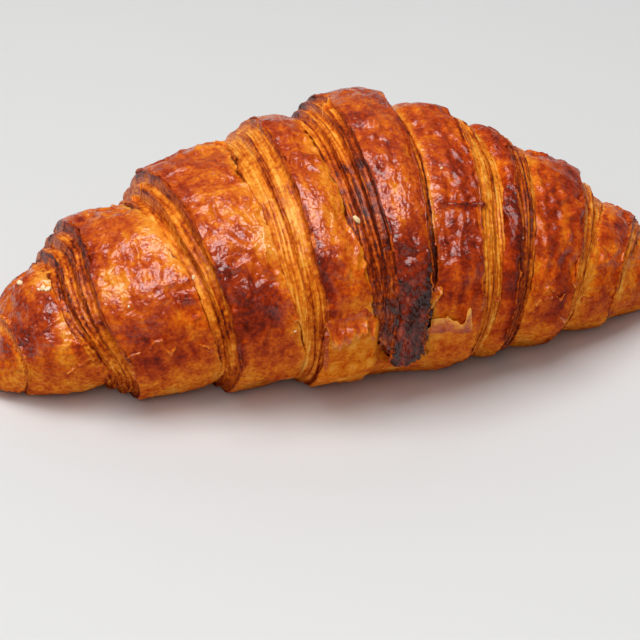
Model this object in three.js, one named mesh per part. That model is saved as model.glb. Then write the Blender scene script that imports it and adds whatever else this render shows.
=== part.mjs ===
// A straight butter croissant: a long triangle of laminated dough rolled up from its base,
// so that each turn of dough is narrower than the one below it and shows a raised cut edge.
// The narrow tail of the triangle comes over the top and ends low on the front.
// Millimetres. X runs along the roll, -Y is the front, +Z is up, and it rests on Z = 0.
import * as THREE from 'three';

// The loaf as a whole. Each end has its own taper: `reach` is the distance from the summit
// over which it narrows, `power` how full it stays, `end` the size of the section where it
// would stop, and `rounding` the length of its rounded tip.
const LENGTH = 175;
const WIDTH = 83;
const HEIGHT = 57;
const SUMMIT_X = 3.5;          // the thickest place, a little to the right of the middle
const LEFT_TAPER = { reach: 97, power: 1.47, end: 0.29, rounding: 19 };
const RIGHT_TAPER = { reach: 83, power: 1.8, end: 0.21, rounding: 10 };
const FULL_RELIEF = 0.34;      // steps fade out where the section is smaller than this
const WAIST = 0.5;             // height of the widest line, as a part of the section's height
const UNDERSIDE_DROP = 1.16;   // above 1 the underside is cut flat by the surface it lies on

// The cut edges of the turns, from the tail outwards. Each edge is a slanted cut round the
// loaf: `top` and `front` are its distances from X = 0 over the top and low on the front,
// and `bow` is how far it swings outwards between them. Below the lip lies the layered cut
// face: its width `cut`, which shrinks by the part `narrow` towards the underside, its
// height `step`, and the number of leaves of dough that show as steps in it.
const RIGHT_TURNS = [
  { top: 14, front: 9.4, bow: 0, cut: 2.6, narrow: 0.5, step: 3, leaves: 1 },
  { top: 29, front: 22, bow: 0, cut: 6.5, narrow: 0.4, step: 2.2, leaves: 2 },
  { top: 41, front: 31, bow: 0, cut: 5.5, narrow: 0.3, step: 2.4, leaves: 2 },
  { top: 60.5, front: 46, bow: 1, cut: 6.5, narrow: 0.4, step: 3.8, leaves: 2 },
  { top: 76, front: 61, bow: 0, cut: 2.5, narrow: 0.3, step: 1.5, leaves: 1 },
];
const LEFT_TURNS = [
  { top: -0.8, front: -2.2, bow: 0, cut: 7.2, narrow: 0.55, step: 4.2, leaves: 3 },
  { top: 16, front: 13.5, bow: 0, cut: 8.5, narrow: 0.5, step: 3, leaves: 2 },
  { top: 41.5, front: 32, bow: 0, cut: 5.8, narrow: 0.5, step: 4.8, leaves: 2 },
  { top: 61.5, front: 53, bow: 4.5, cut: 8.2, narrow: 0.1, step: 5.4, leaves: 3 },
  { top: 82, front: 77, bow: 0, cut: 1.2, narrow: 0.2, step: 1.2, leaves: 1 },
];
const BOW_ANGLE = THREE.MathUtils.degToRad(60);    // where the bow is greatest
const LIP_SHARE = 0.4;         // part of a step that stands above the mean surface
const LOW_FRONT = THREE.MathUtils.degToRad(120);   // where `front` is measured, from the top
const TAIL_END = THREE.MathUtils.degToRad(116);    // the tail's tip, low on the front
const TAIL_FADE = THREE.MathUtils.degToRad(8);
const TAIL_START = THREE.MathUtils.degToRad(205);  // where the tail's turn leaves the underside

// The mesh: points round each section, and rows across each skin, cut face and rounded end.
const AROUND = 48;
const SKIN_ROWS = [0.12, 0.45, 0.8, 1];
const LEAF_DROP = 0.35;        // part of a leaf's width over which its edge drops
const LEAF_SHARE = 0.55;       // part of a cut face's height that is in the leaves' edges
const TAIL_ROWS = [0.25, 0.5, 0.75];
const END_ROWS = [0.25, 0.5, 0.7, 0.85, 0.95, 1];

const { cos, sin, abs, sqrt, max, min, pow, floor } = Math;
const { lerp, smoothstep, clamp } = THREE.MathUtils;

// Distance of a turn's lip from X = 0 at an angle from the top, measured towards the front.
function lipDistance(turn, angle) {
  const swing = (turn.top - turn.front) / (1 - cos(LOW_FRONT));
  const bow = turn.bow * pow(max(cos(angle - BOW_ANGLE), 0), 3);
  return turn.front + swing * (1 - cos(angle - LOW_FRONT)) + bow;
}

function cutWidth(turn, angle) {
  return turn.cut * (1 - turn.narrow * min((1 - cos(angle)) / 1.5, 1));
}

function grooveDistance(turn, angle) {
  return lipDistance(turn, angle) + cutWidth(turn, angle);
}

// How far down its height a cut face has come, at a part of its width.
function leafDrop(turn, part) {
  const leaf = min(floor(part * turn.leaves), turn.leaves - 1);
  const within = part * turn.leaves - leaf;
  const stair = (leaf + min(within / LEAF_DROP, 1)) / turn.leaves;
  return lerp(part, stair, LEAF_SHARE);
}

// The places of a cut face's rows: the foot of each leaf's edge and the leaf's end.
function cutParts(turn) {
  const parts = [];
  for (let leaf = 0; leaf < turn.leaves; leaf += 1) {
    parts.push((leaf + LEAF_DROP) / turn.leaves, (leaf + 1) / turn.leaves);
  }
  return parts;
}

// The tail lies on the turn below it only from the back, over the top, to its tip.
function tailThickness(angle) {
  const frontEdge = 1 - smoothstep(angle, TAIL_END - TAIL_FADE, TAIL_END + TAIL_FADE);
  const backEdge = smoothstep(angle, TAIL_START - TAIL_FADE, TAIL_START + TAIL_FADE);
  return max(frontEdge, backEdge);
}

// How high each kind of row stands above (+) or below (-) the loaf's mean surface.
function lipRise(turn) {
  return turn.step * LIP_SHARE;
}

function grooveRise(turn) {
  return -turn.step * (1 - LIP_SHARE);
}

// Rows of one side, from the middle outwards. Each row says where it lies and how high.
function sideRows(turns, side) {
  const rows = [];
  turns.forEach((turn, index) => {
    const inner = turns[index - 1];
    const fade = index === 0 ? tailThickness : () => 1;
    if (inner) {
      const innerFade = index === 1 ? tailThickness : () => 1;
      for (const part of SKIN_ROWS) {
        rows.push({
          x: (angle) => side * lerp(grooveDistance(inner, angle), lipDistance(turn, angle), part),
          rise: (angle) => {
            const bottom = grooveRise(inner) * innerFade(angle);
            return lerp(bottom, lipRise(turn), pow(part, 0.45));
          },
        });
      }
    } else {
      rows.push({
        x: (angle) => side * lipDistance(turn, angle),
        rise: (angle) => lipRise(turn) * fade(angle),
      });
    }
    for (const part of cutParts(turn)) {
      rows.push({
        x: (angle) => side * (lipDistance(turn, angle) + cutWidth(turn, angle) * part),
        rise: (angle) => fade(angle) * lerp(lipRise(turn), grooveRise(turn), leafDrop(turn, part)),
      });
    }
  });
  return rows;
}

// Rows over the crown of the tail, between its two lips.
function tailRows() {
  const right = RIGHT_TURNS[0];
  const left = LEFT_TURNS[0];
  const height = (lipRise(right) + lipRise(left)) / 2;
  return TAIL_ROWS.map((part) => ({
    x: (angle) => lerp(lipDistance(right, angle), -lipDistance(left, angle), part),
    rise: (angle) => height * tailThickness(angle),
  }));
}

// Rows from the last groove over the rounded end to its tip.
function endRows(turns, side) {
  const last = turns[turns.length - 1];
  return END_ROWS.map((part) => ({
    x: (angle) => side * lerp(grooveDistance(last, angle), LENGTH / 2, part),
    rise: () => grooveRise(last) * pow(1 - part, 2),
  }));
}

// Size of the section at X, from 1 at the summit to 0 at the tips.
function sectionScale(x) {
  const taper = x < SUMMIT_X ? LEFT_TAPER : RIGHT_TAPER;
  const out = min(abs(x - SUMMIT_X) / taper.reach, 1);
  const body = taper.end + (1 - taper.end) * (1 - pow(out, taper.power));
  const cap = clamp((LENGTH / 2 - abs(x)) / taper.rounding, 0, 1);
  return body * sqrt(1 - pow(1 - cap, 2));
}

// Steps are full over the top and lower on the front and back.
function stepEase(angle) {
  return 0.6 + 0.4 * smoothstep(cos(angle), -0.1, 0.75);
}

// A point of the surface: `angle` runs from the top (0) over the front (90 degrees).
function surfacePoint(row, angle, target) {
  const x = row.x(angle);
  const scale = sectionScale(x);
  const rise = row.rise(angle) * stepEase(angle) * smoothstep(scale, 0, FULL_RELIEF);
  const waist = HEIGHT * scale * WAIST;
  const up = cos(angle);
  const half = up > 0 ? HEIGHT * scale - waist : waist * UNDERSIDE_DROP;
  const y = -sin(angle) * (WIDTH * scale / 2 + rise);
  const z = max(waist + up * (half + rise), 0);
  return target.set(x, y, z);
}

function croissantGeometry() {
  const rows = [
    ...endRows(RIGHT_TURNS, 1).reverse(),
    ...sideRows(RIGHT_TURNS, 1).reverse(),
    ...tailRows(),
    ...sideRows(LEFT_TURNS, -1),
    ...endRows(LEFT_TURNS, -1),
  ];
  const geometry = new THREE.SphereGeometry(1, AROUND, rows.length - 1);
  const position = geometry.attributes.position;
  const point = new THREE.Vector3();
  for (let index = 0; index < position.count; index += 1) {
    const row = Math.floor(index / (AROUND + 1));
    const angle = 2 * Math.PI * (index % (AROUND + 1)) / AROUND;
    surfacePoint(rows[row], angle, point);
    position.setXYZ(index, point.x, point.y, point.z);
  }
  geometry.computeVertexNormals();
  return geometry;
}

// Egg-washed crust, baked deep golden brown.
const crust = new THREE.MeshStandardMaterial({ color: 0xa8552a, roughness: 0.42, metalness: 0 });

const croissant = new THREE.Mesh(croissantGeometry(), crust);
croissant.name = 'croissant';

const object = new THREE.Group();
object.add(croissant);

export default object;
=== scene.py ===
import math
import random
import bmesh
import bpy
import numpy as np
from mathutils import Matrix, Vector


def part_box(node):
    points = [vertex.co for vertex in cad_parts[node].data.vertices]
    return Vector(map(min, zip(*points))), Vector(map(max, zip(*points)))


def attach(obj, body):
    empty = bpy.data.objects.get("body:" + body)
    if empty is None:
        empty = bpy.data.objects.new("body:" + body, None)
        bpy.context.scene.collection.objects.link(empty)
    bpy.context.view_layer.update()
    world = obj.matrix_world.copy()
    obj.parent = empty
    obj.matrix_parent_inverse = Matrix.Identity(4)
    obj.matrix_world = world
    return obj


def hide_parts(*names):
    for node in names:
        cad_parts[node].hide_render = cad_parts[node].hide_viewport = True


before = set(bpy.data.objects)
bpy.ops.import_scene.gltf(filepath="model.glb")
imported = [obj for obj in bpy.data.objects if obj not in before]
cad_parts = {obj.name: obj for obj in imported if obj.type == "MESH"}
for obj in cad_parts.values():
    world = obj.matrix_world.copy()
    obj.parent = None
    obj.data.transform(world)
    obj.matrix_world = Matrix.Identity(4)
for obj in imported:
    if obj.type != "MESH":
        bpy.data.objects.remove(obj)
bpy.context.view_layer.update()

# ---------------------------------------------------------------------------------------
# The rolled turns. A croissant is one long triangle of laminated dough, rolled up from its
# base: each turn is narrower than the one under it, and ends in a cut edge where the
# baked layers show. The skins were brushed with egg and baked to a glossy red-brown.
MM = 0.001
TIP_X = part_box("croissant")[1].x / MM   # half the length: the roll is centred on X = 0
WIDTH = 83.0
HEIGHT = 57.0
SUMMIT_X = 3.5                 # the thickest place
LEFT_TAPER = dict(reach=97.0, power=1.47, end=0.29, rounding=19.0)
RIGHT_TAPER = dict(reach=83.0, power=1.8, end=0.21, rounding=10.0)
FULL_RELIEF = 0.34             # steps fade out where the section is smaller than this
WAIST = 0.5                    # height of the widest line, as a part of the section's height
UNDERSIDE_DROP = 1.16          # above 1 the underside is cut flat by the table
LIP_SHARE = 0.4                # part of a step that stands above the mean surface
LOW_FRONT = math.radians(120)  # where `front` is measured: angles run from the top forwards
BOW_ANGLE = math.radians(60)   # where the bow is greatest
TAIL_TIP = math.radians(123)
TAIL_START = math.radians(205)
MEAN_RADIUS = 34.0             # of the thick part, which turns an angle into mm round it
COLUMNS = 420                  # points round each row of the mesh

# From the tail outwards: where each lip crosses the top and the low front, and how far it
# bows outwards in between; the width, narrowing, height and leaves of its layered cut
# face, and how sharply those are stepped; how dark that face is baked, from 0 to 1, how
# much darker low down, and its count of dark ridges; how much darker the lip is, and how
# dark the skin behind it.
RIGHT_TURNS = [
    dict(top=14.0, front=9.4, bow=0.0, cut=2.6, narrow=0.5, step=3.0, leaves=1, stepped=0.8,
         face=0.52, low=0.12, lines=1, rim=0.05, skin=0.56),
    dict(top=29.0, front=22.0, bow=0.0, cut=6.5, narrow=0.4, step=2.2, leaves=2, stepped=0.8,
         face=0.34, low=0.00, lines=2, rim=-0.10, skin=0.55),
    dict(top=41.0, front=31.0, bow=0.0, cut=5.5, narrow=0.3, step=2.4, leaves=2, stepped=0.9,
         face=0.50, low=0.10, lines=3, rim=0.15, skin=0.70),
    dict(top=60.5, front=46.0, bow=1.0, cut=6.5, narrow=0.4, step=3.8, leaves=2, stepped=1.0,
         face=0.38, low=0.00, lines=3, rim=-0.05, skin=0.60),
    dict(top=76.0, front=61.0, bow=0.0, cut=2.5, narrow=0.3, step=1.5, leaves=1, stepped=0.8,
         face=0.35, low=0.00, lines=1, rim=0.10, skin=0.52),
]
LEFT_TURNS = [
    dict(top=-0.8, front=-2.2, bow=0.0, cut=7.2, narrow=0.55, step=4.2, leaves=3, stepped=1.1,
         face=0.62, low=0.15, lines=4, rim=0.15, skin=0.51),
    dict(top=16.0, front=13.5, bow=0.0, cut=8.5, narrow=0.5, step=3.0, leaves=2, stepped=0.8,
         face=0.30, low=0.00, lines=2, rim=0.30, skin=0.47),
    dict(top=41.5, front=32.0, bow=0.0, cut=5.8, narrow=0.5, step=4.8, leaves=2, stepped=1.2,
         face=0.35, low=0.05, lines=3, rim=0.25, skin=0.46),
    dict(top=61.5, front=53.0, bow=4.5, cut=8.2, narrow=0.1, step=5.4, leaves=3, stepped=1.6,
         face=0.50, low=-0.12, lines=6, rim=0.25, skin=0.48),
    dict(top=82.0, front=77.0, bow=0.0, cut=1.2, narrow=0.2, step=1.2, leaves=1, stepped=0.8,
         face=0.45, low=0.00, lines=0, rim=0.00, skin=0.52),
]
for number, (right_turn, left_turn) in enumerate(zip(RIGHT_TURNS, LEFT_TURNS)):
    right_turn["seed"] = 100 + number * 10
    left_turn["seed"] = number * 10


def smooth(value, start, end):
    part = np.clip((value - start) / (end - start), 0, 1)
    return part * part * (3 - 2 * part)


def blend(a, b, part):
    return a + (b - a) * part


GRADIENTS = np.random.default_rng(7).normal(size=(1024, 3))
GRADIENTS /= np.linalg.norm(GRADIENTS, axis=1, keepdims=True)
CELL_MIX = (73856093, 19349663, 83492791)      # large primes that scatter the cells


def grain(points, size, seed=0.0):
    """Smooth gradient noise, about -1 to 1, with lumps of about this size in mm."""
    scaled = points / size + seed * 7.31
    cell = np.floor(scaled).astype(np.int64)
    inside = scaled - cell
    ease = inside ** 3 * (inside * (inside * 6 - 15) + 10)
    total = np.zeros(points.shape[:-1])
    for corner in np.ndindex(2, 2, 2):
        x, y, z = np.moveaxis((cell + corner) * CELL_MIX, -1, 0)
        slope = (GRADIENTS[(x ^ y ^ z) & 1023] * (inside - corner)).sum(-1)
        total += slope * np.prod(np.where(corner, ease, 1 - ease), axis=-1)
    return total * 1.6


def column_angles():
    """Angles round the loaf from the top over the front: close together where it shows,
    closest at the tail's tip, and wide apart on the underside."""
    fine = np.linspace(0, 2 * math.pi, 4001)
    under = np.abs(fine - math.pi) < math.radians(37)
    weight = np.where(under, 0.3, 1.0)
    weight += 1.3 * np.exp(-(((fine - TAIL_TIP) / math.radians(7)) ** 2))
    total = np.concatenate([[0], np.cumsum((weight[1:] + weight[:-1]) / 2)])
    wanted = np.arange(COLUMNS) / COLUMNS * total[-1]
    return np.interp(wanted, total, fine)


ANGLES = column_angles()
STEP_EASE = 0.6 + 0.4 * smooth(np.cos(ANGLES), -0.1, 0.75)    # steps are lower on the sides
DOWN = np.minimum((1 - np.cos(ANGLES)) / 1.5, 1)              # 0 at the top, 1 low down


def round_distance(angle):
    """How far each column is round the loaf from this angle, in mm: + towards the front."""
    return MEAN_RADIUS * ((ANGLES - angle + math.pi) % (2 * math.pi) - math.pi)


ALONG = round_distance(0.0)


def ring_noise(count, seed):
    """Noise that runs round the loaf and closes on itself, about `count` waves a turn."""
    radius = count / (2 * math.pi)
    spread = np.full_like(ANGLES, seed * 3.7)
    return grain(np.stack([np.cos(ANGLES) * radius, np.sin(ANGLES) * radius, spread], -1), 1.0)


def section_scale(x):
    """Size of the loaf's section at x: 1 at the summit, 0 at the tips."""
    scales = []
    for taper in (LEFT_TAPER, RIGHT_TAPER):
        out = np.minimum(np.abs(x - SUMMIT_X) / taper["reach"], 1)
        body = taper["end"] + (1 - taper["end"]) * (1 - out ** taper["power"])
        cap = np.clip((TIP_X - np.abs(x)) / taper["rounding"], 0, 1)
        scales.append(body * np.sqrt(1 - (1 - cap) ** 2))
    return np.where(x < SUMMIT_X, *scales)


def loaf_surface(x, rise, floor):
    """Points of rows of the surface: x and rise in mm, one value for each column."""
    scale = section_scale(x)
    rise = rise * STEP_EASE * smooth(scale, 0, FULL_RELIEF)
    waist = HEIGHT * scale * WAIST
    up = np.cos(ANGLES)
    half = np.where(up > 0, HEIGHT * scale - waist, waist * UNDERSIDE_DROP)
    y = -np.sin(ANGLES) * (WIDTH * scale / 2 + rise)
    z = np.maximum(waist + up * (half + rise), floor)
    return np.stack([x, y, z], -1)


def lip_ragged(turn):
    """How far the torn lip strays from its even line, in mm."""
    return 0.3 * ring_noise(45, turn["seed"] + 1) + 0.15 * ring_noise(110, turn["seed"] + 5)


def lip_distance(turn):
    """Distance of a turn's lip from X = 0 in mm, one value for each column."""
    swing = (turn["top"] - turn["front"]) / (1 - math.cos(LOW_FRONT))
    line = turn["front"] + swing * (1 - np.cos(ANGLES - LOW_FRONT))
    line += turn["bow"] * np.maximum(np.cos(ANGLES - BOW_ANGLE), 0) ** 3
    return line + 0.6 * ring_noise(8, turn["seed"]) + lip_ragged(turn)


def groove_distance(turn):
    """Distance of the foot of a turn's cut face from X = 0, in the same way."""
    width = turn["cut"] * (1 - turn["narrow"] * DOWN)
    return lip_distance(turn) + width * (1 + 0.25 * ring_noise(7, turn["seed"] + 2))


def leaf_drop(turn, part):
    """How far down its height a cut face has come, at a part of its width, and how far
    along its leaf that is. The leaves' edges wander a little as they run round."""
    wander = 0.25 * ring_noise(9, turn["seed"] + 3) + lip_ragged(turn) * turn["leaves"] / turn["cut"]
    place = np.clip(part * turn["leaves"] + wander * math.sin(math.pi * part), 0, turn["leaves"])
    leaf = np.minimum(np.floor(place), turn["leaves"] - 1)
    stair = (leaf + smooth(place - leaf, 0.0, 0.25)) / turn["leaves"]
    return blend(part, stair, turn["stepped"]), place - leaf


def lip_rise(turn):
    return turn["step"] * LIP_SHARE


def groove_rise(turn):
    return -turn["step"] * (1 - LIP_SHARE)


def tail_cover(across):
    """1 where the tail lies on the turn below it, 0 past its rounded tip."""
    tip = TAIL_TIP - math.radians(5) * across ** 2
    front = 1 - smooth(ANGLES, tip - math.radians(4), tip + math.radians(0.5))
    back = smooth(ANGLES, TAIL_START - 0.1, TAIL_START + 0.1)
    return np.maximum(front, back)


class Rows:
    """Rows of a piece from its right end to its left end, each with one value for each
    column. `face` is the distance down a cut face, below 0 on a skin; `edge` the distance
    below the leaf edge above; `lip` and `groove` the distances to the nearest of each;
    `strand` is measured across the layers; `wide` and `lines` are the cut face's width and
    its count of dark ridges. Distances are in mm."""
    NAMES = ("x", "rise", "floor", "face", "edge", "lip", "groove", "strand", "tone", "rim",
             "wide", "lines")

    def __init__(self):
        for name in self.NAMES:
            setattr(self, name, [])

    def add(self, **values):
        defaults = dict(floor=0.0, face=-1.0, edge=9.0, lip=20.0, groove=20.0, strand=0.0,
                        tone=0.5, rim=0.0, wide=0.0, lines=0.0)
        for name, value in {**defaults, **values}.items():
            getattr(self, name).append(np.broadcast_to(value, ANGLES.shape).astype(float))

    def extend(self, other):
        for name in self.NAMES:
            getattr(self, name).extend(getattr(other, name))

    def reversed(self):
        other = Rows()
        for name in self.NAMES:
            setattr(other, name, getattr(self, name)[::-1])
        return other

    def array(self, name):
        return np.array(getattr(self, name))


def skin_rows(inner, turn, side, under_tail):
    """Egg-washed skin, from the groove under the inner turn out to this turn's lip."""
    rows = Rows()
    start, end = groove_distance(inner), lip_distance(turn)
    low = groove_rise(inner) * (tail_cover(1.0) if under_tail else 1.0)
    for part in np.linspace(0, 1, int(8 + (turn["top"] - inner["top"]) * 1.7)):
        rise = blend(low, lip_rise(turn), part ** 0.8) + 0.5 * math.sin(math.pi * part)
        rows.add(x=side * blend(start, end, part), rise=rise, lip=(end - start) * (1 - part),
                 groove=(end - start) * part, strand=(end - start) * (1 - part),
                 tone=turn["skin"], rim=turn["rim"])
    return rows


def face_rows(turn, side):
    """Layered face of a cut edge: a short drop below the lip, then a slope to the groove.
    Past the groove it goes on under the next skin, where the piece is closed."""
    rows = Rows()
    lip, groove = lip_distance(turn), groove_distance(turn)
    for part in np.linspace(0, 1, int(12 + turn["cut"] * 5))[1:]:
        drop, within = leaf_drop(turn, part)
        down = np.hypot((groove - lip) * part, turn["step"] * drop)
        edge = within * np.hypot(groove - lip, turn["step"]) / turn["leaves"]
        rows.add(x=side * blend(lip, groove, part), rise=blend(lip_rise(turn), groove_rise(turn), drop),
                 face=down, edge=edge, lip=down, groove=(groove - lip) * (1 - part),
                 strand=-down - lip_ragged(turn), tone=turn["face"] + turn["low"] * DOWN,
                 rim=turn["rim"], wide=groove - lip, lines=turn["lines"])
    low = groove_rise(turn)
    # The part under the next skin is coloured darkest: painted shade in the gap at the groove.
    hidden = dict(face=9.0, tone=1.0)
    rows.add(x=side * (groove + 0.3), rise=low - 1.5, floor=1.5, **hidden)
    rows.add(x=side * (groove - 0.5), rise=low - 6.0, floor=4.0, **hidden)
    rows.add(x=side * float(np.mean(groove)), rise=low - 6.0, floor=4.0, **hidden)
    return rows


def middle_rows(number):
    """What lies between the two sides of a turn: the tail's own crown, the skin round the
    tail's tip, or a plain stretch hidden under the next turn."""
    rows = Rows()
    right, left = RIGHT_TURNS[max(number - 1, 0)], LEFT_TURNS[max(number - 1, 0)]
    if number == 0:
        start, end = lip_distance(right), -lip_distance(left)
        high = (lip_rise(right) + lip_rise(left)) / 2
        for part in np.linspace(0, 1, 90):
            across = abs(2 * part - 1)
            rows.add(x=blend(start, end, part), rise=high + 0.6 * (1 - across ** 2),
                     lip=(start - end) * (1 - across) / 2, strand=(start - end) * part,
                     tone=right["skin"], rim=right["rim"])
        return rows
    start, end = groove_distance(right), -groove_distance(left)
    if number == 1:
        for part in np.linspace(0, 1, 24)[1:-1]:
            edge = min(part, 1 - part)
            rows.add(x=blend(start, end, part), rise=-tail_cover(0.0) * (2.7 + 16 * edge * (1 - edge)),
                     groove=20.0, strand=(start - end) * part, tone=0.35)
        return rows
    # The stretch under the next turn is coloured darkest: painted shade in any gap that shows it.
    for part in (0.06, 0.5, 0.94):
        rows.add(x=blend(start, end, part), rise=-6.0, floor=2.0, tone=1.0)
    return rows


def tip_rows(turn, side):
    """The innermost turn, from under the last groove to the rounded tip of the loaf."""
    rows = Rows()
    start = groove_distance(turn)
    for part in np.sin(np.linspace(0, math.pi / 2, 60)):
        rows.add(x=side * blend(start, TIP_X, part), rise=groove_rise(turn) * (1 - part) ** 2,
                 groove=(TIP_X - start) * part, strand=(TIP_X - start) * part, tone=0.5)
    return rows


def outward(points):
    """Unit normals of a grid of rows and columns that closes round its columns."""
    down = np.gradient(points, axis=0)
    around = np.roll(points, -1, axis=1) - np.roll(points, 1, axis=1)
    normal = np.cross(around, down)
    return normal / np.maximum(np.linalg.norm(normal, axis=-1, keepdims=True), 1e-9)


def strands(rows, across, along, seed):
    """Noise drawn out along the layers: `across` and `along` are its sizes in mm."""
    strand = rows.array("strand")
    place = np.stack([strand / across, np.broadcast_to(ALONG / along, strand.shape),
                      np.zeros_like(strand)], -1)
    return grain(place, 1.0, seed)


def face_relief(rows, seed):
    """Edges of the baked layers: leaves of uneven thickness with a few sunk creases, whose darkness is
    painted shade, and burnt ridges on some faces.
    """
    face, tone = rows.array("face"), rows.array("tone")
    count = -rows.array("strand") / 0.95 + 0.5 * strands(rows, 3.0, 60.0, seed)
    count += 0.12 * strands(rows, 1.5, 14.0, seed + 1)
    crease = np.exp(-(((count - np.round(count)) / 0.15) ** 2))
    crease *= smooth(strands(rows, 0.9, 20.0, seed + 2), 0.0, 0.4)
    leaf = np.sin(np.round(count + 0.5) * 12.9 + 1.5 * strands(rows, 9.0, 26.0, seed + 3))
    fibre = 0.16 * strands(rows, 0.5, 14.0, seed + 4) + 0.14 * strands(rows, 1.0, 2.0, seed + 5)
    relief = 0.16 * leaf * (0.5 + tone) + fibre - crease * (0.25 + 0.35 * tone)
    lines = rows.array("lines")
    count = lines * (1 - rows.array("groove") / np.maximum(rows.array("wide"), 0.1))
    count += 0.3 * strands(rows, 5.0, 50.0, seed + 6) + 0.1 * strands(rows, 2.0, 9.0, seed + 8)
    ridge = np.exp(-(((count - np.round(count)) / 0.15) ** 2)) * (lines > 0)
    ridge *= smooth(strands(rows, 1.6, 26.0, seed + 7), -0.5, 0.1)
    shown = smooth(face, 0.0, 0.6)
    return shown * (relief + 0.25 * ridge), shown * (crease + 0.9 * ridge), shown * leaf


def peeled_plates(points, seed):
    """1 on thin plates of crust that have lifted, mostly low on the sides."""
    ragged = grain(points, 6.5, seed + 8) + 0.35 * grain(points, 1.3, seed + 9)
    return smooth(ragged, 0.08, 0.14) * (1 - 0.7 * smooth(points[..., 2], 16, 26))


def skin_relief(rows, points, seed):
    """Broad lumps, puckers in the glaze on the upper side, small flaky wrinkles on the
    lower, and fine streaks."""
    skin = 1 - smooth(rows.array("face"), 0.0, 0.3)
    upper = smooth(points[..., 2], 13, 24)
    lumps = 1.0 * grain(points, 19.0, seed) + 0.65 * grain(points, 7.5, seed + 1)
    warp = 0.6 * grain(points, 5.0, seed + 2)
    pucker = np.minimum(np.abs(strands(rows, 3.2, 6.5, seed + 3) + warp), 0.5)
    where = smooth(grain(points, 12.0, seed + 4), -0.35, 0.2) * upper
    blister = np.maximum(grain(points, 2.6, seed + 7) - 0.25, 0) * upper
    flaky = np.minimum(np.abs(grain(points, 2.2, seed + 11) + 0.5 * grain(points, 1.0, seed + 12)), 0.4)
    fine = 0.05 * strands(rows, 0.9, 2.4, seed + 5) + 0.08 * grain(points, 1.4, seed + 6)
    fine += 0.3 * peeled_plates(points, seed) + 0.6 * flaky * (1 - 0.75 * upper)
    return skin * (lumps + where * 1.6 * pucker + 0.5 * blister + fine)


# Where the skin is baked darker (+) or stayed paler (-): distance along the roll, angle
# from the top in degrees, radius in mm, and by how much. The darker patch at the right
# tip is painted shade, not bake.
BAKED_PATCHES = [
    (-27, 75, 8, 0.38), (-22, 86, 5, 0.18), (-25, 45, 6, -0.05),
    (-58, 46, 6, -0.28), (-51, 100, 5, 0.15), (-54, 80, 4, 0.12), (-44, 62, 5, 0.10),
    (-71, 14, 4, -0.25), (-70, 38, 7, 0.18), (-14, 72, 5, 0.25), (-11, 40, 5, -0.08),
    (2, 4, 3, 0.28), (8, 10, 4, -0.14), (9, 34, 5, -0.17), (8, 54, 4, -0.12), (2, 34, 2.5, 0.14),
    (15, 62, 8, 0.14), (14, 30, 4, 0.12), (30, 38, 6, 0.22), (40, 62, 5, 0.10),
    (44, 32, 6, 0.12), (56, 50, 5, 0.10), (64, 40, 5, 0.08), (30, 80, 5, 0.12),
    # (80, 20, 9, 0.18) darkens the right tip: painted shade where less light reaches it.
    (31, 60, 6, 0.20), (80, 20, 9, 0.18), (-82, 55, 8, 0.26), (12, 85, 5, 0.12), (15, 106, 7, -0.30),
    (-77, 30, 5, 0.10), (3, 78, 6, 0.20), (-8, -5, 5, 0.08), (6, -8, 5, -0.10),
    (5, 62, 3.5, 0.14), (49, 22, 5, -0.10),
]


def baked_patches(rows):
    """How much darker the patches make each point of the rows."""
    x = rows.array("x")
    total = np.zeros_like(x)
    for place, angle, radius, amount in BAKED_PATCHES:
        round_it = round_distance(math.radians(angle)) / 1.3
        total += amount * np.exp(-(((x - place) / radius) ** 2 + (round_it / radius) ** 2))
    return total


def skin_bake(rows, points, seed):
    """How dark the skins are baked: mottled, golden by the grooves, paler low down."""
    z = points[..., 2]
    lip, groove = np.abs(rows.array("lip")), rows.array("groove")
    patches = 0.17 * grain(points, 9.0, seed) + 0.15 * grain(points, 3.0, seed + 1)
    patches += 0.08 * grain(points, 1.1, seed + 2) + 0.14 * strands(rows, 1.9, 22.0, seed + 7)
    golden = 0.16 * np.exp(-groove / 5.0) + 0.14 * np.exp(-groove / 1.5)
    bake = np.minimum(rows.array("tone") + patches - golden + baked_patches(rows), 0.76)
    bake += rows.array("rim") * np.exp(-((lip / 1.6) ** 2)) * (0.5 + 0.5 * grain(points, 6.0, seed + 3))
    low = 0.32 + 0.2 * grain(points, 6.0, seed + 5) - 0.09 * peeled_plates(points, seed - 10)
    low += 0.18 * grain(points, 1.1, seed + 6)
    return blend(low, np.minimum(bake, 0.84), smooth(z + 4 * grain(points, 5.0, seed + 4), 6, 17))


def face_bake(rows, points, crease, leaf, seed):
    """How dark the cut faces are painted: baked dark at the burnt ridges and leaf edges, darker in the
    creases as painted shade, and darker just below the lips, partly burnt lip and partly painted shade
    under it.
    """
    face, edge = rows.array("face"), rows.array("edge")
    tone = rows.array("tone")
    patches = 0.12 * strands(rows, 1.0, 16.0, seed) + 0.16 * strands(rows, 0.5, 9.0, seed + 1)
    patches += 0.16 * grain(points, 0.9, seed + 2) + 0.16 * grain(points, 5.0, seed + 3)
    # The creases are painted darker: painted shade in them. The burnt ridges come in the same mask.
    bake = tone + patches + (0.12 + 0.4 * tone) * crease - 0.07 * leaf
    bake += (0.05 + 0.35 * tone) * np.exp(-edge / 0.6) * smooth(rows.array("wide"), 0.5, 3.0)
    # Darker just below the lip: partly the burnt lip, partly painted shade under it.
    bake += (0.12 + 0.4 * rows.array("rim")) * np.exp(-face / 2.0)
    return np.minimum(bake, 0.92)


LIP_LINES = []                 # points and normals along each lip, and which way it faces


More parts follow.
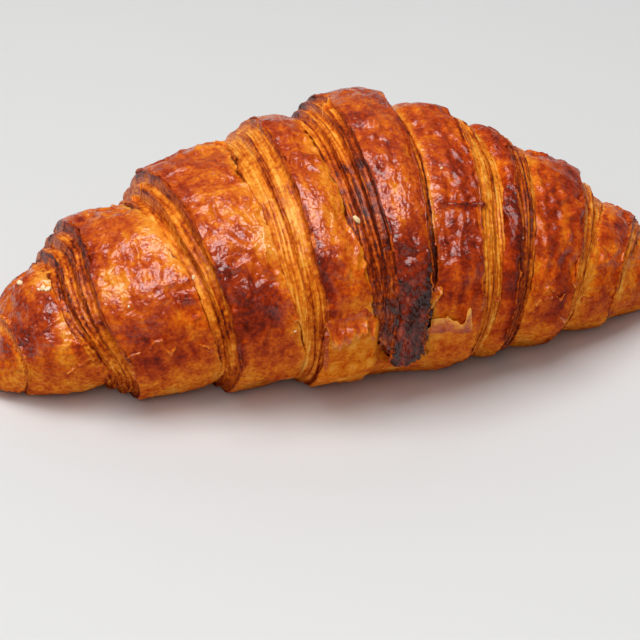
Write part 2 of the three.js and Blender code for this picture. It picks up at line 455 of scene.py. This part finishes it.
def make_turn(name, rows, seed, details=None):
    """One turn as a closed piece: the smooth form, its relief and its baked looks."""
    x, rise, floor = rows.array("x"), rows.array("rise"), rows.array("floor")
    points = loaf_surface(x, rise, floor)
    for row in (0, -1):
        waist = HEIGHT * section_scale(x[row]) * WAIST
        points[row] = (x[row].mean(), 0, waist.mean())
    layers, crease, leaf = face_relief(rows, seed)
    relief = layers + skin_relief(rows, points, seed + 10)
    layered = smooth(rows.array("face"), -0.1, 0.5)
    z = points[..., 2]
    face = face_bake(rows, points, crease, leaf, seed + 30)
    bake = blend(skin_bake(rows, points, seed + 20), face, layered)
    glazed = smooth(np.cos(ANGLES) + 0.25 * grain(points, 9.0, seed + 40), 0.12, 0.48)
    wash = (1 - 0.6 * layered) * (0.1 + 0.9 * glazed) * (1 - 0.45 * smooth(x, 12, 32))
    looks = dict(relief=relief, bake=bake, layered=layered, wash=wash)
    if details:
        details(points, looks, rows)
    relief = looks.pop("relief") * smooth(z, 0.0, 3.0)
    relief[[0, -1]] = 0
    normals = outward(points)
    points = points + normals * relief[..., None]
    points[..., 2] = np.maximum(points[..., 2], floor)
    for row in np.nonzero(np.abs(rows.array("lip")).max(axis=1) == 0)[0]:
        LIP_LINES.append((points[row], normals[row], np.sign(x[row].mean() or 1.0)))
    looks = {key: np.clip(value, 0, 1) for key, value in looks.items()}
    return grid_to_piece(name, points, looks, rows.array("strand"))


def grid_to_piece(name, points, looks, strand):
    """Closes a grid of points into a piece: its first and last rows are single points and
    its last column meets the first. Sizes in mm go in, metres come out."""
    rows, columns = points.shape[:2]
    form = bmesh.new()
    bmesh.ops.create_grid(form, x_segments=columns, y_segments=rows - 1, size=1.0)
    layers = {key: form.verts.layers.float.new(key) for key in looks}
    across = form.verts.layers.float_vector.new("strand")
    seam = []
    for vert in form.verts:
        row = round((vert.co.y + 1) / 2 * (rows - 1))
        column = round((vert.co.x + 1) / 2 * columns)
        if column in (0, columns) or row in (0, rows - 1):
            seam.append(vert)
        column %= columns
        vert.co = points[row, column] * MM
        for key, layer in layers.items():
            vert[layer] = looks[key][row, column]
        vert[across] = (strand[row, column], ALONG[column], 0.0)
    bmesh.ops.remove_doubles(form, verts=seam, dist=1e-7)
    bmesh.ops.recalc_face_normals(form, faces=form.faces)
    mesh = bpy.data.meshes.new(name)
    form.to_mesh(mesh)
    form.free()
    mesh.shade_smooth()
    piece = bpy.data.objects.new(name, mesh)
    bpy.context.scene.collection.objects.link(piece)
    return piece


def tail_details(points, looks, rows):
    """The tail thins out past its tip, and its last third is baked nearly black."""
    start, end = lip_distance(RIGHT_TURNS[0]), -lip_distance(LEFT_TURNS[0])
    across = np.abs(2 * (rows.array("x") - end) / (start - end) - 1)
    cover = tail_cover(np.minimum(across, 1.4))
    sunk = loaf_surface(rows.array("x"), np.full_like(across, -6.0), 3.0)
    points[:] = blend(sunk, points, cover[..., None])
    points[[0, -1]] = points[[0, -1]].mean(axis=1, keepdims=True)
    ragged = math.radians(9) * grain(points, 5.0, 70)
    burnt = smooth(ANGLES + ragged, math.radians(62), math.radians(90))
    burnt = burnt * (1 - smooth(ANGLES, math.radians(132), math.radians(142)))
    slant = grain(points + points[..., :1] * (0, 0, 0.8), 1.6, 71)
    bark = np.minimum(np.abs(slant + 0.6 * strands(rows, 0.9, 2.6, 72)), 0.4)
    looks["relief"] += burnt * (1.9 * bark - 0.3)
    right = smooth(rows.array("x"), 1.0, 7.0)
    # Darker in the bark's valleys and lighter on its crests: painted shade and painted light on the
    # wrinkles, over the charring.
    char = 0.76 + 0.16 * right + 0.3 * strands(rows, 2.0, 5.0, 73) - 0.5 * (bark - 0.2)
    looks["bake"] = blend(looks["bake"], char, burnt * 0.95)
    looks["wash"] = np.maximum(looks["wash"], 0.8 * burnt)
    left = 1 - smooth(rows.array("x"), 0.0, 5.0)
    looks["bake"] -= 0.3 * left * np.exp(-(((ALONG + 6) / 15) ** 2))


def torn_edge(points, angle, seed):
    """1 below a ragged line that runs round the loaf at this angle from the top."""
    x = points[..., 0]
    line = np.stack([x, np.zeros_like(x), np.zeros_like(x)], -1)
    wander = 4.0 * grain(line, 3.4, seed) + 3.0 * grain(line, 1.2, seed + 1)
    return smooth(np.degrees(ANGLES) - angle + wander, 0.0, 0.9)


def between(x, low, high):
    """1 where x is between the two, with soft sides 1 mm wide."""
    return smooth(x, low - 0.5, low + 0.5) * (1 - smooth(x, high - 0.5, high + 0.5))


def second_turn_details(points, looks, rows):
    """Left of the tail the skin is torn off above a paler sheet. Right of it a short crack crosses the
    skin, painted darker inside as painted shade."""
    x = points[..., 0]
    skin = 1 - looks["layered"]
    front = 1 - smooth(ANGLES, math.radians(135), math.radians(150))
    torn = torn_edge(points, 95.0, 81) * between(x, -14.5, -1.5) * front * skin
    looks["relief"] -= 1.0 * torn
    looks["bake"] = blend(looks["bake"], 0.25 + 0.25 * grain(points, 3.0, 82), torn)
    looks["wash"] = looks["wash"] * (1 - torn)
    line = np.degrees(ANGLES) - 46.0 + 2.0 * grain(points, 6.0, 87)
    crack = np.exp(-((line / 1.1) ** 2)) * between(x, 15.5, 27.0)
    looks["relief"] -= 0.9 * crack
    # Painted shade in the crack: it is painted darker.
    looks["bake"] += 0.25 * crack


def linear(hex_colour):
    """sRGB hex to linear RGBA."""
    parts = [int(hex_colour[i:i + 2], 16) / 255 for i in (1, 3, 5)]
    values = [c / 12.92 if c <= 0.04045 else ((c + 0.055) / 1.055) ** 2.4 for c in parts]
    return (*values, 1.0)


def add_node(tree, kind, settings=None, inputs=None, output=0):
    """Adds a node, sets its properties, fills or links its inputs, and gives its output."""
    node = tree.nodes.new(kind)
    for key, value in (settings or {}).items():
        setattr(node, key, value)
    for key, value in (inputs or {}).items():
        if isinstance(value, bpy.types.NodeSocket):
            tree.links.new(value, node.inputs[key])
        else:
            node.inputs[key].default_value = value
    return node.outputs[output]


SKIN_COLOURS = [(0.0, "#f4a540"), (0.2, "#e98518"), (0.38, "#d25c0a"), (0.55, "#b03a05"),
                (0.72, "#8a2303"), (0.87, "#5a1605"), (1.0, "#35150c")]
FACE_COLOURS = [(0.0, "#f8b450"), (0.22, "#ee8f24"), (0.45, "#cb5f0e"), (0.68, "#973204"),
                (0.86, "#5c1a07"), (1.0, "#38130b")]


def crust_material():
    """Laminated butter crust, egg-washed and baked. The glazed skins are mottled and
    mirror the light softly; the cut layers are matte, with threads along them."""
    material = bpy.data.materials.new("egg_washed_crust")
    material.use_nodes = True
    tree = material.node_tree
    tree.nodes.remove(tree.nodes["Principled BSDF"])
    place = add_node(tree, "ShaderNodeTexCoord", output="Object")
    bake, layered, wash = [
        add_node(tree, "ShaderNodeAttribute", {"attribute_name": name}, output="Fac")
        for name in ("bake", "layered", "wash")]
    strand = add_node(tree, "ShaderNodeAttribute", {"attribute_name": "strand"}, output="Vector")

    # Threads 0.35 mm thick and 9 mm long run along the layers. In the skin there are
    # mottles of 2.6 mm, speckles of 0.8 mm, folds of 3 mm, grains of 0.7 mm and pores.
    threads = add_node(tree, "ShaderNodeMapping", inputs={
        "Vector": strand, "Scale": (1 / 0.35, 1 / 9.0, 1.0)})
    thread = add_node(tree, "ShaderNodeTexNoise", inputs={
        "Vector": threads, "Scale": 1.0, "Detail": 3.0, "Roughness": 0.6}, output="Fac")
    mottle, speckle, fold, fine = [
        add_node(tree, "ShaderNodeTexNoise", inputs={
            "Vector": place, "Scale": 1 / (size * MM), "Detail": detail, "Roughness": 0.6}, output="Fac")
        for size, detail in ((2.6, 4.0), (0.8, 2.0), (3.0, 2.0), (0.7, 3.0))]
    pore = add_node(tree, "ShaderNodeTexVoronoi", inputs={
        "Vector": place, "Scale": 1 / (0.9 * MM)}, output="Distance")
    mottled, speckled, streaked, pitted, dulled, uneven, coated = [
        add_node(tree, "ShaderNodeMapRange", inputs={
            "Value": value, "From Min": start, "From Max": end, "To Min": low, "To Max": high})
        for value, start, end, low, high in (
            (mottle, 0.3, 0.7, -0.10, 0.10), (speckle, 0.35, 0.65, -0.09, 0.09),
            (thread, 0.3, 0.7, -0.18, 0.18), (pore, 0.06, 0.2, 1.0, 0.0),
            (wash, 0.0, 1.0, 0.65, 0.5), (mottle, 0.3, 0.7, -0.08, 0.08),
            (mottle, 0.4, 0.55, 0.7, 1.0))]

    # Colour: how dark each place is baked, on one ramp for the skins and one for the layers.
    patchy = add_node(tree, "ShaderNodeMath", {"operation": "ADD"}, {0: mottled, 1: speckled})
    browned = add_node(tree, "ShaderNodeMath", {"operation": "ADD"}, {0: bake, 1: patchy})
    face_tone = add_node(tree, "ShaderNodeMath", {"operation": "MULTIPLY_ADD"},
                         {0: streaked, 1: layered, 2: browned})
    # The skins' pores are painted darker: painted shade in the pits.
    skin_tone = add_node(tree, "ShaderNodeMath", {"operation": "MULTIPLY_ADD"},
                         {0: pitted, 1: 0.15, 2: face_tone})
    ramps = []
    for tone, stops in ((skin_tone, SKIN_COLOURS), (face_tone, FACE_COLOURS)):
        ramps.append(add_node(tree, "ShaderNodeValToRGB", inputs={"Fac": tone}))
        elements = ramps[-1].node.color_ramp.elements
        while len(elements) < len(stops):
            elements.new(0.5)
        for element, (position, stop_colour) in zip(elements, stops):
            element.position = position
            element.color = linear(stop_colour)
    colour = add_node(tree, "ShaderNodeMix", {"data_type": "RGBA"},
                      {"Factor": layered, "A": ramps[0], "B": ramps[1]}, "Result")

    # Height: soft folds under the glaze, fine grain, threads on the layers, and the pores.
    folded = add_node(tree, "ShaderNodeMath", {"operation": "SUBTRACT"}, {0: fold, 1: 0.5})
    crumpled = add_node(tree, "ShaderNodeMath", {"operation": "ABSOLUTE"}, {0: folded})
    crumples = add_node(tree, "ShaderNodeMath", {"operation": "MULTIPLY"}, {0: crumpled, 1: 3.0})
    grainy = add_node(tree, "ShaderNodeMath", {"operation": "MULTIPLY"}, {0: fine, 1: 0.55})
    height = add_node(tree, "ShaderNodeMath", {"operation": "MULTIPLY_ADD"},
                      {0: crumples, 1: wash, 2: grainy})
    height = add_node(tree, "ShaderNodeMath", {"operation": "MULTIPLY_ADD"},
                      {0: thread, 1: layered, 2: height})
    height = add_node(tree, "ShaderNodeMath", {"operation": "MULTIPLY_ADD"},
                      {0: pitted, 1: -0.5, 2: height})
    bump = add_node(tree, "ShaderNodeBump", inputs={
        "Height": height, "Strength": 0.6, "Distance": 0.4 * MM})
    rough = add_node(tree, "ShaderNodeMath", {"operation": "ADD"}, {0: dulled, 1: uneven})
    coat = add_node(tree, "ShaderNodeMath", {"operation": "MULTIPLY"}, {0: wash, 1: coated})
    shader = add_node(tree, "ShaderNodeBsdfPrincipled", inputs={
        "Base Color": colour, "Roughness": rough, "Normal": bump, "Specular IOR Level": 0.06,
        "Coat Weight": coat, "Coat Roughness": 0.07, "Coat IOR": 1.62, "Coat Normal": bump})
    tree.links.new(shader, tree.nodes["Material Output"].inputs["Surface"])
    return material


CRUST = crust_material()
CRUST_PIECES = []              # the turns, on which flakes, sheets and crumbs are placed


def finish_piece(piece, material=CRUST):
    """Gives a piece its material and its place in the object."""
    piece.data.materials.append(material)
    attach(piece, "root")
    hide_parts("croissant")


TURN_NAMES = ("tail_turn", "second_turn", "third_turn", "fourth_turn", "fifth_turn")
TURN_DETAILS = {"tail_turn": tail_details, "second_turn": second_turn_details}
for number, turn_name in enumerate(TURN_NAMES):
    sides = []
    for turns, side in ((RIGHT_TURNS, 1), (LEFT_TURNS, -1)):
        half = Rows()
        if number:
            half.extend(skin_rows(turns[number - 1], turns[number], side, number == 1))
        half.extend(face_rows(turns[number], side))
        sides.append(half)
    all_rows = sides[0].reversed()
    all_rows.extend(middle_rows(number))
    all_rows.extend(sides[1])
    turn_piece = make_turn(turn_name, all_rows, 50 + number * 60, TURN_DETAILS.get(turn_name))
    finish_piece(turn_piece)
    CRUST_PIECES.append(turn_piece)

heart_rows = tip_rows(RIGHT_TURNS[-1], 1).reversed()
heart_rows.extend(middle_rows(len(TURN_NAMES)))
heart_rows.extend(tip_rows(LEFT_TURNS[-1], -1))
heart_turn = make_turn("heart_turn", heart_rows, 400)
finish_piece(heart_turn)
CRUST_PIECES.append(heart_turn)

# ---------------------------------------------------------------------------------------
# Loose flakes. Along the lips the thinnest leaves of dough have lifted and torn into short
# ragged strips, a third of a millimetre thick, that stand out over the cut faces.
FLAKES_PER_LIP = 16
LAST_FLAKY_LIP = 75.0          # the lips nearest the tips have none
flake_random = random.Random(5)
flake_form = bmesh.new()
flake_looks = {key: flake_form.verts.layers.float.new(key) for key in ("bake", "layered", "wash")}


def add_flake(line, normals, side, start, count, width, lift, bake):
    """A strip along a lip over `count` columns: `width` out over the cut face, with its
    outer edge lifted and torn."""
    sections = []
    for step in range(count + 1):
        column = (start + step) % COLUMNS
        taper = math.sin(math.pi * (step + 0.3) / (count + 0.6))
        torn = taper * flake_random.uniform(0.65, 1.1)
        out = Vector(normals[column])
        over = Vector((side, 0.0, 0.0)) - out * (out.x * side)
        root = Vector(line[column]) - over * 0.5 - out * 0.12
        edge = Vector(line[column]) + over * width * torn + out * (lift * torn - 0.1)
        sections.append([root, edge, edge + out * 0.22, root + out * 0.3])
    bakes = [[bake + flake_random.uniform(-0.1, 0.1) for corner in section] for section in sections]
    made = bmesh.ops.create_grid(flake_form, x_segments=count, y_segments=4, size=1.0)
    seam = []
    for vert in made["verts"]:
        step = round((vert.co.x + 1) / 2 * count)
        corner = round((vert.co.y + 1) / 2 * 4) % 4
        if corner == 0:
            seam.append(vert)
        vert.co = sections[step][corner] * MM
        vert[flake_looks["bake"]] = bakes[step][corner]
        vert[flake_looks["layered"]] = 0.6
        vert[flake_looks["wash"]] = 0.3
    bmesh.ops.remove_doubles(flake_form, verts=seam, dist=1e-7)


# None low down, where the loaf has rested on its tray.
FRONT_COLUMNS = np.nonzero((ANGLES < math.radians(112)) | (ANGLES > math.radians(250)))[0]
for lip_points, lip_normals, lip_side in LIP_LINES:
    if abs(lip_points[:, 0]).mean() > LAST_FLAKY_LIP:
        continue
    for number in range(FLAKES_PER_LIP):
        first_column = int(flake_random.choice(FRONT_COLUMNS))
        add_flake(lip_points, lip_normals, lip_side, first_column, flake_random.randint(6, 22),
                  flake_random.uniform(0.2, 0.8), flake_random.uniform(-0.15, 0.35),
                  flake_random.uniform(0.4, 0.75))
open_ends = [edge for edge in flake_form.edges if edge.is_boundary]
bmesh.ops.holes_fill(flake_form, edges=open_ends, sides=4)
bmesh.ops.recalc_face_normals(flake_form, faces=flake_form.faces)
flake_mesh = bpy.data.meshes.new("loose_flakes")
flake_form.to_mesh(flake_mesh)
flake_form.free()
loose_flakes = bpy.data.objects.new("loose_flakes", flake_mesh)
bpy.context.scene.collection.objects.link(loose_flakes)
finish_piece(loose_flakes)

# ---------------------------------------------------------------------------------------
# Torn sheets. Low beside the tail the outer skin has split, and its ragged edge stands off
# the turn below. Smaller rags of it lift all along the low front, and a few on the top.
SHEET_THICKNESS = 0.25
ROOT_DEPTH = 0.9               # how far a sheet's root is sunk, so that no edge of it shows
ABOVE_CRUST = 0.08             # metres: where the search for the crust starts
sheet_form = bmesh.new()
sheet_looks = {key: sheet_form.verts.layers.float.new(key) for key in ("bake", "layered", "wash")}
bpy.context.view_layer.update()                # so that rays meet the finished turns


def crust_place(x, angle):
    """The point of the crust at x, at an angle from the top over the front, and the
    direction out from it."""
    out = Vector((0.0, -math.sin(angle) * WIDTH / 2, math.cos(angle) * HEIGHT * (1 - WAIST)))
    out.normalize()
    start = Vector((x, 0.0, HEIGHT * float(section_scale(np.array(x))) * WAIST)) * MM
    best = (0.0, start)
    for turn_piece in CRUST_PIECES:
        found, point, _, _ = turn_piece.ray_cast(start + out * ABOVE_CRUST, -out)
        if found and (point - start).dot(out) > best[0]:
            best = ((point - start).dot(out), point)
    return best[1], out


def add_sheet(x_from, x_to, root, edge, ragged, lift, bake, seed):
    """A sheet that comes out of the crust near the angle `root` and ends in a ragged edge
    about the angle `edge`, lifted by `lift` mm. Angles in degrees."""
    steps = int((x_to - x_from) / 0.18)
    made = bmesh.ops.create_grid(sheet_form, x_segments=steps, y_segments=14, size=1.0)
    for vert in made["verts"]:
        across, out = (vert.co.x + 1) / 2, (vert.co.y + 1) / 2
        x = blend(x_from, x_to, across)
        line = np.array((x, 0.0, 0.0))
        tooth = float(grain(line, 3.6, seed) + 0.7 * grain(line, 1.3, seed + 1))
        ends = min(1.0, across * 6, (1 - across) * 6)
        angle = blend(root, edge + ragged * tooth, out * (0.3 + 0.7 * ends))
        curl = float(grain(np.array((x, angle * 0.6, 0.0)), 2.5, seed + 2))
        point, normal = crust_place(x, math.radians(angle))
        stand = blend(-ROOT_DEPTH, lift * (1 + 0.9 * curl), out * ends)
        vert.co = point + normal * stand * MM
        vert[sheet_looks["bake"]] = bake - 0.36 * out ** 4 + 0.2 * curl
        vert[sheet_looks["layered"]] = 0.1
        vert[sheet_looks["wash"]] = 0.7
    faces = list({face for vert in made["verts"] for face in vert.link_faces})
    raised = bmesh.ops.extrude_face_region(sheet_form, geom=faces, use_keep_orig=True)["geom"]
    for part in raised:
        if isinstance(part, bmesh.types.BMVert):
            middle = HEIGHT * float(section_scale(np.array(part.co.x / MM))) * WAIST * MM
            out = Vector((0.0, part.co.y, part.co.z - middle)).normalized()
            part.co += out * SHEET_THICKNESS * MM


add_sheet(-14.8, -1.0, 86.0, 99.0, 9.0, 1.2, 0.50, 21)
add_sheet(8.6, 21.5, 114.0, 98.0, 6.0, 0.9, 0.42, 23)
add_sheet(9.5, 13.5, 80.0, 89.0, 6.0, 0.8, 0.45, 26)
TOP_RAGS = [(-0.5, -14), (-25.0, -27), (-46.0, -24)]
for number, (rag_x, rag_angle) in enumerate(TOP_RAGS):
    add_sheet(rag_x - 1.8, rag_x + 1.8, rag_angle + 5, rag_angle, 6.0, 0.8, 0.45, 30 + number)
sheet_random = random.Random(11)
for number in range(16):
    rag_x = sheet_random.choice((sheet_random.uniform(-70, -18), sheet_random.uniform(24, 60)))
    rag_angle = sheet_random.uniform(82, 110)
    half = sheet_random.uniform(0.9, 2.2)
    add_sheet(rag_x - half, rag_x + half, rag_angle - 4, rag_angle, 6.0, 0.25, 0.56, 60 + number)
bmesh.ops.recalc_face_normals(sheet_form, faces=sheet_form.faces)
sheet_mesh = bpy.data.meshes.new("torn_sheets")
sheet_form.to_mesh(sheet_mesh)
sheet_form.free()
sheet_mesh.shade_smooth()
torn_sheets = bpy.data.objects.new("torn_sheets", sheet_mesh)
bpy.context.scene.collection.objects.link(torn_sheets)
finish_piece(torn_sheets)

# ---------------------------------------------------------------------------------------
# A seed and some crumbs that stick to the glaze. Each stands on the crust at a distance
# along the roll and an angle from the top.
def grain_shape(form, centre, axes, rough, seed):
    """Adds one rounded grain: a ball stretched to half sizes in mm along a direction."""
    shape = bmesh.ops.create_icosphere(form, subdivisions=3, radius=1.0)
    facing = axes[0].to_track_quat("X", "Z").to_matrix()
    for vert in shape["verts"]:
        bump = 1 + rough * float(grain(np.array(vert.co), 0.7, seed))
        local = Vector((vert.co.x * axes[1], vert.co.y * axes[2], vert.co.z * axes[3])) * bump
        vert.co = centre + facing @ local * MM


def bits_piece(name, bits, rough, finish, pale, toasted):
    """One piece of seeds or crumbs: x, angle in degrees, half length and half width of each.
    Its surface is mottled from `pale` to `toasted`, dull and slightly uneven."""
    form = bmesh.new()
    for number, (x, angle, length, width) in enumerate(bits):
        point, normal = crust_place(x, math.radians(angle))
        turned = number * 2.1 + 0.7
        along = normal.cross(Vector((math.cos(turned), 0.3, math.sin(turned)))).normalized()
        axes = (along, length, width, width * 0.7)
        grain_shape(form, point + normal * width * 0.4 * MM, axes, rough, number)
    mesh = bpy.data.meshes.new(name)
    form.to_mesh(mesh)
    form.free()
    mesh.shade_smooth()
    piece = bpy.data.objects.new(name, mesh)
    bpy.context.scene.collection.objects.link(piece)
    material = bpy.data.materials.new(finish)
    material.use_nodes = True
    tree = material.node_tree
    place = add_node(tree, "ShaderNodeTexCoord", output="Object")
    mottle = add_node(tree, "ShaderNodeTexNoise", inputs={
        "Vector": place, "Scale": 1 / (0.6 * MM), "Detail": 3.0}, output="Fac")
    shade = add_node(tree, "ShaderNodeMapRange", inputs={
        "Value": mottle, "From Min": 0.4, "From Max": 0.62})
    colour = add_node(tree, "ShaderNodeMix", {"data_type": "RGBA"},
                      {"Factor": shade, "A": linear(pale), "B": linear(toasted)}, "Result")
    bump = add_node(tree, "ShaderNodeBump", inputs={
        "Height": mottle, "Strength": 0.5, "Distance": 0.2 * MM})
    shader = tree.nodes["Principled BSDF"]
    shader.inputs["Roughness"].default_value = 0.5
    tree.links.new(colour, shader.inputs["Base Color"])
    tree.links.new(bump, shader.inputs["Normal"])
    finish_piece(piece, material)


# A toasted sesame seed beside the tail, smooth and cream with a browner side, and pale dry
# crumbs near the left tip and about the front.
bits_piece("seed", [(-3.6, 49, 1.3, 0.8)], 0.036, "toasted_sesame", "#f2d8a6", "#dfb375")
CRUMBS = [(-76, 2, 0.9, 0.7), (-71.5, 22, 0.8, 0.6), (-70.5, 25, 0.9, 0.7),
          (-72.4, 21, 0.5, 0.4), (-55, 60, 0.3, 0.25), (19, 29, 0.4, 0.3),
          (34.5, 60, 0.45, 0.35), (-40, 56, 0.6, 0.35), (-20, 95, 0.3, 0.25)]
bits_piece("crumbs", CRUMBS, 0.144, "dry_pastry_crumb", "#f8e4be", "#ecc98c")

# ---------------------------------------------------------------------------------------
# The table, light and camera. A plain matt table top, a broad soft skylight overhead that
# the glaze mirrors, weaker light from a window at the front left and a wall behind, and
# the camera a little to the left of the front.
CAMERA_PLACE = (-113.8, -409.1, 242.9)         # mm
CAMERA_AZIMUTH = math.radians(-14.96)
CAMERA_DROP = math.radians(29.4)               # how far it looks down
TABLE_HALF = 4.0                               # metres
camera_data = bpy.data.cameras.new("camera")
camera_data.lens = 112.5
camera_data.sensor_width = 36.0
camera = bpy.data.objects.new("camera", camera_data)
camera.location = Vector(CAMERA_PLACE) * MM
camera.rotation_euler = (math.pi / 2 - CAMERA_DROP, 0, CAMERA_AZIMUTH)
bpy.context.scene.collection.objects.link(camera)
bpy.context.scene.camera = camera

table_form = bmesh.new()
bmesh.ops.create_grid(table_form, x_segments=1, y_segments=1, size=TABLE_HALF)
table_mesh = bpy.data.meshes.new("table")
table_form.to_mesh(table_mesh)
table_form.free()
table = bpy.data.objects.new("table", table_mesh)
bpy.context.scene.collection.objects.link(table)
table_material = bpy.data.materials.new("matt_white_table")
table_material.use_nodes = True
table_shader = table_material.node_tree.nodes["Principled BSDF"]
table_shader.inputs["Base Color"].default_value = linear("#d8d8d7")
table_shader.inputs["Roughness"].default_value = 0.6
table_mesh.materials.append(table_material)


def soft_light(name, place, aim, size, power, mirrored=False):
    """A rectangular area light at `place` that faces `aim`, seen in the glaze or not."""
    data = bpy.data.lights.new(name, "AREA")
    data.shape = "RECTANGLE"
    data.size, data.size_y = size
    data.energy = power
    light = bpy.data.objects.new(name, data)
    light.location = place
    light.rotation_euler = (Vector(aim) - Vector(place)).to_track_quat("-Z", "Y").to_euler()
    light.visible_glossy = mirrored
    bpy.context.scene.collection.objects.link(light)


soft_light("skylight", (-0.18, -0.06, 1.15), (-0.02, 0.0, 0.0), (0.95, 0.72), 12.5, True)
soft_light("window", (-0.4, -0.85, 0.85), (0.0, 0.0, 0.0), (1.4, 0.9), 5.5)
soft_light("wall", (0.2, 1.1, 0.9), (0.0, 0.0, 0.0), (2.2, 0.9), 5.0)
world = bpy.data.worlds.new("studio")
world.use_nodes = True
world.node_tree.nodes["Background"].inputs["Color"].default_value = linear("#f4f6fa")
world.node_tree.nodes["Background"].inputs["Strength"].default_value = 0.1
bpy.context.scene.world = world
bpy.context.scene.view_settings.view_transform = "Standard"
